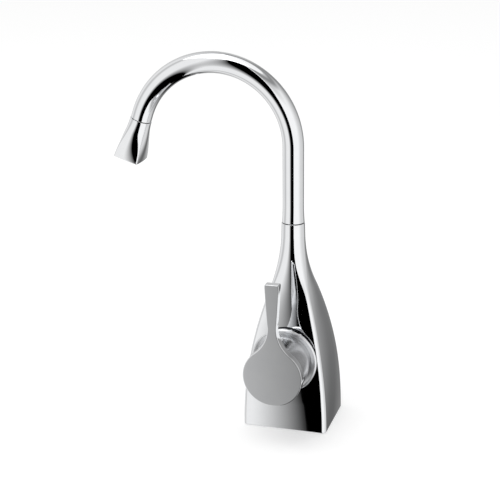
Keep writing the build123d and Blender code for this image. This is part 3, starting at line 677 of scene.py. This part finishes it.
# Lever: a flat round paddle with a waisted arm, cast in one with the hollow hub behind it
lever = {
    "paddleRadius": 17.9, "front": 48.1, "back": 43.1, "waistHeight": 30.8, "waistHalf": 2.65,
    "middleHalf": 3.65, "topHalf": 4.4, "top": 57.5, "topCorner": 0.8, "frontEdge": 0.3,
    "backEdge": 0.4, "flatInset": 0.25, "hubRadius": 17.0, "hubWall": 1.8, "hubBack": 21.6,
    "hubFillet": 0.4, "hubEdge": 0.12, "bossRadius": 7.5, "bossBack": 29.0, "holeRadius": 5.55,
    "holeEnd": 41.05, "innerFillet": 0.6, "topMiddle": 1.5, "bottomSteps": 24, "sideSteps": 16,
    "waistSteps": 28, "armSteps": 16, "cornerSteps": 7, "frontSteps": 6, "edgeSteps": 5,
    "filletSteps": 4}


def arcPoints(middle, start, end, count):
    # Points along the shorter way round from start to end, start left out
    first, last = Vector(start) - Vector(middle), Vector(end) - Vector(middle)
    sweepAngle = first.angle_signed(last)
    return [Vector(middle) + Matrix.Rotation(-sweepAngle * step / count, 2) @ first
            for step in range(1, count + 1)]


def paddleOutline():
    # The right half from the bottom of the paddle up to the arm's top, then its mirror image
    radius, waist, high = lever["paddleRadius"], lever["waistHalf"], lever["waistHeight"]
    fillet = (high ** 2 + waist ** 2 - radius ** 2) / (2 * (radius - waist))
    middle = Vector((waist + fillet, high))
    touch = middle * radius / (radius + fillet)
    bottom = Vector((0, -radius))
    half = [bottom]
    half += arcPoints((0, 0), bottom, (radius, 0), lever["bottomSteps"])
    half += arcPoints((0, 0), (radius, 0), touch, lever["sideSteps"])
    half += arcPoints(middle, touch, (waist, high), lever["waistSteps"])
    rise = (lever["top"] - high) / 2
    corner, count = lever["topCorner"], lever["armSteps"]
    for step in range(1, count + 1):
        share = step / count * (1 - corner / (2 * rise))
        x = (waist * (1 - share) * (1 - 2 * share) + lever["middleHalf"] * 4 * share * (1 - share)
             + lever["topHalf"] * share * (2 * share - 1))
        half.append(Vector((x, high + 2 * rise * share)))
    last = half[-1]
    half += arcPoints((last.x - corner, last.y), last, (last.x - corner, last.y + corner),
                      lever["cornerSteps"])
    half.append(Vector((lever["topMiddle"], lever["top"])))
    return half + [Vector((-p.x, p.y)) for p in reversed(half[1:])]


def insetOutline(outline, distance):
    # The outline moved inwards, each point along the line square to its neighbours
    moved = []
    for index, point in enumerate(outline):
        side = (outline[(index + 1) % len(outline)] - outline[index - 1]).normalized()
        moved.append(point + Vector((-side.y, side.x)) * distance)
    return moved


def makeLeverCasting():
    # From the paddle's face over its back, out along the hub, back inside it and down the hole
    outline = paddleOutline()
    angles = [math.atan2(point.x, point.y) for point in outline]

    def outlineRing(along, inset):
        return [(along, point.x, leverAxis + point.y) for point in insetOutline(outline, inset)]

    front, back, edge, rear = lever["front"], lever["back"], lever["frontEdge"], lever["backEdge"]
    rings = [outlineRing(front, edge + lever["flatInset"])]
    rings += [outlineRing(front - grown, left) for grown, left in roundedEdge(edge, lever["frontSteps"])]
    rings += [outlineRing(back + left, grown) for grown, left in roundedEdge(rear, lever["edgeSteps"])]
    hub, inner, stem = lever["hubRadius"], lever["hubRadius"] - lever["hubWall"], lever["bossRadius"]
    hubBack, stemBack, hole = lever["hubBack"], lever["bossBack"], lever["holeRadius"]
    fillet = lever["hubFillet"]
    outer = roundedEdge(fillet, lever["filletSteps"])
    lip = roundedEdge(lever["hubEdge"], lever["edgeSteps"])
    soft = roundedEdge(lever["innerFillet"], lever["filletSteps"])
    profile = [(back - grown, hub + left) for grown, left in outer]
    profile += [(hubBack + left, hub - grown) for grown, left in lip]
    profile += [(hubBack + grown, inner + left) for grown, left in lip]
    profile += [(back - left, inner - grown) for grown, left in soft]
    profile += [(back - grown, stem + left) for grown, left in soft]
    profile += [(stemBack, stem), (stemBack, hole), (lever["holeEnd"], hole)]
    rings += [axisRing(along, radius, angles) for along, radius in profile]
    points, faces = skinRings(rings, capFirst=True, capLast=True)
    piece = makePiece("leverCast", points, faces, [polishedChrome, hubShadedChrome], "lever",
                      "lever_casting")
    # The hub behind the paddle gets the greyer chrome with painted shade
    shadedHubStart = (back - fillet) * mm
    for face in piece.data.polygons:
        face.material_index = 1 if face.center.x < shadedHubStart else 0
    return piece


leverPiece = makeLeverCasting()
print("lever done")

# Upright holes in the lever, for the plug under the hub and the grub screw in its inner boss:
# the middle of each, its radius and its length
leverHoles = [
    {"place": (31.5, 0.0, 29.2), "radius": 2.3, "length": 4.6},
    {"place": (31.5, 0.0, 41.0), "radius": 2.0, "length": 9.0}]
drillSteps = 48


def cutHole(piece, place, radius, length):
    x, y, middle = place
    ends = [uprightRing(x, y, middle + side * length, radius, drillSteps) for side in (-0.5, 0.5)]
    combine(piece, "drill", *skinRings(ends, capFirst=True, capLast=True), "DIFFERENCE")


for hole in leverHoles:
    cutHole(leverPiece, **hole)
print("lever's holes done")

# Studio: a white room with a pale floor. Round it, far off, stand two walls and a black flag
# that only the metal sees. Distances are metres, directions and heights degrees.
floorLook = {"size": 12.0, "below": 0.0002, "colour": "E6E6E6", "lift": 0.31}
worldLook = {"colour": "FFFFFF", "fill": 0.8}
panels = {
    "distance": 5.0, "centre": (0.0, 0.0, 0.1), "wallTop": 62.0, "wallFoot": -89.0, "wallStep": 2.0,
    "flagNearer": 0.1, "flagStep": 3.0, "flagColumns": 6}
walls = {
    # Where each wall starts and ends, about the tap with 0 in front of the lever, its shade, and
    # the soft cards hung before it, laid on in turn. A card is four directions, four heights above
    # the horizon and a shade: it fades in from the first to the second, is full to the third and
    # gone at the fourth.
    "leftWall": {"from": -163, "to": -9, "shade": 0.9, "followsFlag": True, "cards": [
        ((-260, -200, -163, -100), (-100, -95, 90, 95), 0.5),  # grey corner at the back
        ((-106, -83, -77, -58), (-100, -95, 90, 95), 0.57),  # grey upright card
        ((-24.5, -10.3, 10, 20), (-100, -95, 90, 95), 0.0),  # soft edge of the black flag
        ((-260, -200, -163, -125), (-110, -100, -56, -42), 0.0)]},  # dark floor at the back
    "backWall": {"from": 24, "to": 197, "shade": 1.0, "followsFlag": False, "cards": [
        ((70, 160, 230, 240), (-100, -95, 38, 75), 0.24),  # dark cloth at the back
        ((80, 125, 130, 152), (-50, -27, -22, 25), 0.75),  # pale card low in front of it
        ((150, 161, 171, 178), (-60, -35, -26, -5), 0.13),  # its dark foot
        ((165, 190, 260, 270), (-45, -20, 90, 95), 0.58),  # grey corner at the back
        ((0, 10, 24, 85), (18, 44, 60, 70), 0.3),  # grey card high at the front
        ((0, 10, 205, 210), (40, 49, 55, 66), 0.28),  # grey beam all along
        ((0, 10, 130, 170), (-100, -95, -48, -41), 0.44),  # grey floor
        ((112, 150, 230, 240), (-100, -95, -56, -42), 0.0),  # dark floor at the back
        ((0, 10, 230, 240), (-100, -95, -78, -68), 0.0)]},  # dark under the tap
}
# The black flag stands a little in front of the walls, and the left wall's end follows its edge.
# Each row is a height above the horizon and the directions of the flag's two edges there.
blackFlag = [(60, -10.6, 19), (40, -10.6, 20), (30, -10.6, 20), (20, -10.6, 18), (12, -10.6, 14.5),
             (5, -10.6, 13.5), (0, -10.6, 14.5), (-8, -10.6, 17.5), (-15, -10.6, 19.7),
             (-25, -10.2, 20), (-27, -9.6, 20.5), (-39, -9.4, 24), (-50, -9.4, 36), (-62, -9.4, 54),
             (-70, -9.4, 64), (-75, -9.4, 90), (-80, -9.4, 130), (-89, -9.4, 190)]


def panelPoint(direction, height, nearer):
    # A point as seen from the tap, this much nearer than the walls are
    distance = panels["distance"] - nearer
    flat = distance * math.cos(math.radians(height))
    x, y, z = panels["centre"]
    return (x + flat * math.cos(math.radians(direction)), y + flat * math.sin(math.radians(direction)),
            z + distance * math.sin(math.radians(height)))


def makePanel(name, heights, directions, shades, nearer=0.0):
    # A glowing sheet of panelPoints: the heights and, for each, its rows of directions and shades
    count = len(directions[0])
    points = [panelPoint(direction, height, nearer)
              for height, row in zip(heights, directions) for direction in row]
    faces = [(row * count + column, row * count + column + 1, (row + 1) * count + column + 1,
              (row + 1) * count + column)
             for row in range(len(heights) - 1) for column in range(count - 1)]
    mesh = bpy.data.meshes.new(name)
    mesh.from_pydata(points, [], faces)
    values = [shade for row in shades for shade in row]
    mesh.attributes.new("shade", "FLOAT", "POINT").data.foreach_set("value", values)
    mesh.materials.append(panelMaterial)
    panel = bpy.data.objects.new(name, mesh)
    bpy.context.scene.collection.objects.link(panel)
    panel.visible_camera = False
    panel.visible_diffuse = False
    panel.visible_shadow = False


def fade(place, start, full, fullTo, end):
    # 1 from full to fullTo, with an even slope to 0 on both sides
    return min(1.0, max(0.0, min((place - start) / (full - start), (end - place) / (end - fullTo))))


def wallShade(wall, direction, height):
    # The wall's shade with its cards laid over it
    shade = wall["shade"]
    for across, upright, cardShade in wall["cards"]:
        shade += (cardShade - shade) * fade(direction, *across) * fade(height, *upright)
    return shade


def blend(rows, height):
    # The values at a height, from rows of (height, values) in falling order
    for (above, first), (below, second) in zip(rows, rows[1:]):
        if below <= height <= above:
            share = (above - height) / (above - below)
            return [a + (b - a) * share for a, b in zip(first, second)]


def panelHeights(rows, step):
    # The rows' heights, with others between them that lie no more than a step apart
    heights = []
    for (above, _), (below, _) in zip(rows, rows[1:]):
        count = math.ceil((above - below) / step)
        heights += [above + (below - above) * index / count for index in range(count)]
    return heights + [rows[-1][0]]


# A panel glows as its mesh's shade says, from 0 for black to 1 for white
panelMaterial, panelTree = emptyMaterial("studioPanel")
panelShade = addNode(panelTree, "Attribute", {"attribute_name": "shade"})
panelGlow = addNode(panelTree, "Emission", {}, {
    "Color": linearColour("FFFFFF"), "Strength": panelShade.outputs["Fac"]})
addNode(panelTree, "OutputMaterial", {}, {"Surface": panelGlow.outputs["Emission"]})
flagRows = [(height, edges) for height, *edges in blackFlag]
flagTop, (flagLeft, _) = flagRows[0]
heights = panelHeights([(panels["wallTop"], None), (panels["wallFoot"], None)], panels["wallStep"])
for name, wall in walls.items():
    start, end = wall["from"], wall["to"]
    count = math.ceil((end - start) / panels["wallStep"])
    columns = [start + (end - start) * step / count for step in range(count + 1)]
    directions = []
    for height in heights:
        shift = blend(flagRows, min(height, flagTop))[0] - flagLeft if wall["followsFlag"] else 0
        directions.append([direction + shift for direction in columns])
    shades = [[wallShade(wall, direction, height) for direction in columns] for height in heights]
    makePanel(name, heights, directions, shades)
count = panels["flagColumns"]
heights = panelHeights(flagRows, panels["flagStep"])
directions = [[left + (right - left) * step / count for step in range(count + 1)]
              for left, right in (blend(flagRows, height) for height in heights)]
makePanel("blackFlag", heights, directions, [[0.0] * (count + 1)] * len(heights),
          panels["flagNearer"])

# Floor: matt white board, lifted to nearly white for the camera alone, with the tap's shadow
floorMesh = bpy.data.meshes.new("floor")
reach = floorLook["size"] / 2
floorMesh.from_pydata([(x, y, -floorLook["below"]) for x, y in (
    (-reach, -reach), (reach, -reach), (reach, reach), (-reach, reach))], [], [(0, 1, 2, 3)])
floor = bpy.data.objects.new("floor", floorMesh)
bpy.context.scene.collection.objects.link(floor)
floor.visible_glossy = False
floorMaterial, floorTree = emptyMaterial("floorMattWhite")
matt = addNode(floorTree, "BsdfDiffuse", {}, {"Color": linearColour(floorLook["colour"])})
rays = addNode(floorTree, "LightPath")
shown = addNode(floorTree, "Math", {"operation": "MULTIPLY"}, {
    0: rays.outputs["Is Camera Ray"], 1: floorLook["lift"]})
lift = addNode(floorTree, "Emission", {}, {"Strength": shown.outputs["Value"]})
both = addNode(floorTree, "AddShader", {}, {0: matt.outputs["BSDF"], 1: lift.outputs["Emission"]})
addNode(floorTree, "OutputMaterial", {}, {"Surface": both.outputs["Shader"]})
floorMesh.materials.append(floorMaterial)

# World: white to the camera and in the metal, and a little less than that as light
world = bpy.data.worlds.new("studioWhite")
bpy.context.scene.world = world
world.use_nodes = True
worldTree = world.node_tree
worldTree.nodes.clear()
worldRays = addNode(worldTree, "LightPath")
seen = addNode(worldTree, "Math", {"operation": "MAXIMUM"}, {
    0: worldRays.outputs["Is Camera Ray"], 1: worldRays.outputs["Is Glossy Ray"]})
seenToo = addNode(worldTree, "Math", {"operation": "MAXIMUM"}, {
    0: seen.outputs["Value"], 1: worldRays.outputs["Is Transmission Ray"]})
level = addNode(worldTree, "MapRange", {}, {
    "Value": seenToo.outputs["Value"], "To Min": worldLook["fill"], "To Max": 1.0})
sky = addNode(worldTree, "Background", {}, {
    "Color": linearColour(worldLook["colour"]), "Strength": level.outputs["Result"]})
addNode(worldTree, "OutputWorld", {}, {"Surface": sky.outputs["Background"]})

# One large softbox overhead, a little to the front
softbox = {"place": (0.25, -0.35, 1.5), "size": 1.1, "power": 6.0}
lampData = bpy.data.lights.new("softboxOverhead", "AREA")
lampData.shape = "SQUARE"
lampData.size = softbox["size"]
lampData.energy = softbox["power"]
lamp = bpy.data.objects.new("softboxOverhead", lampData)
bpy.context.scene.collection.objects.link(lamp)
lamp.location = softbox["place"]
lamp.rotation_euler = (-Vector(softbox["place"])).to_track_quat("-Z", "Y").to_euler()
print("studio done")

# Camera at the photograph's place: where it stands and its nearest sight in metres, the way it
# looks in degrees, and its lens and sensor in millimetres
view = {"place": (0.733235, 0.198069, 0.363848), "nearest": 0.01, "turn": 107.0809,
        "rise": 18.5760, "roll": -0.6365, "lens": 95.897, "sensor": 36.0}
turn, rise, roll = (math.radians(view[name]) for name in ("turn", "rise", "roll"))
backwards = Vector((math.sin(turn) * math.cos(rise), -math.cos(turn) * math.cos(rise), math.sin(rise)))
sideways = Vector((0, 0, 1)).cross(backwards).normalized()
upright = backwards.cross(sideways)
across = sideways * math.cos(roll) + upright * math.sin(roll)
upwards = upright * math.cos(roll) - sideways * math.sin(roll)
cameraData = bpy.data.cameras.new("camera")
cameraData.lens = view["lens"]
cameraData.sensor_width = view["sensor"]
cameraData.sensor_fit = "HORIZONTAL"
cameraData.clip_start = view["nearest"]
camera = bpy.data.objects.new("camera", cameraData)
bpy.context.scene.collection.objects.link(camera)
camera.matrix_world = Matrix.Translation(view["place"]) @ Matrix(
    (across, upwards, backwards)).transposed().to_4x4()
bpy.context.scene.camera = camera
bpy.context.scene.view_settings.view_transform = "Standard"
print("camera done")
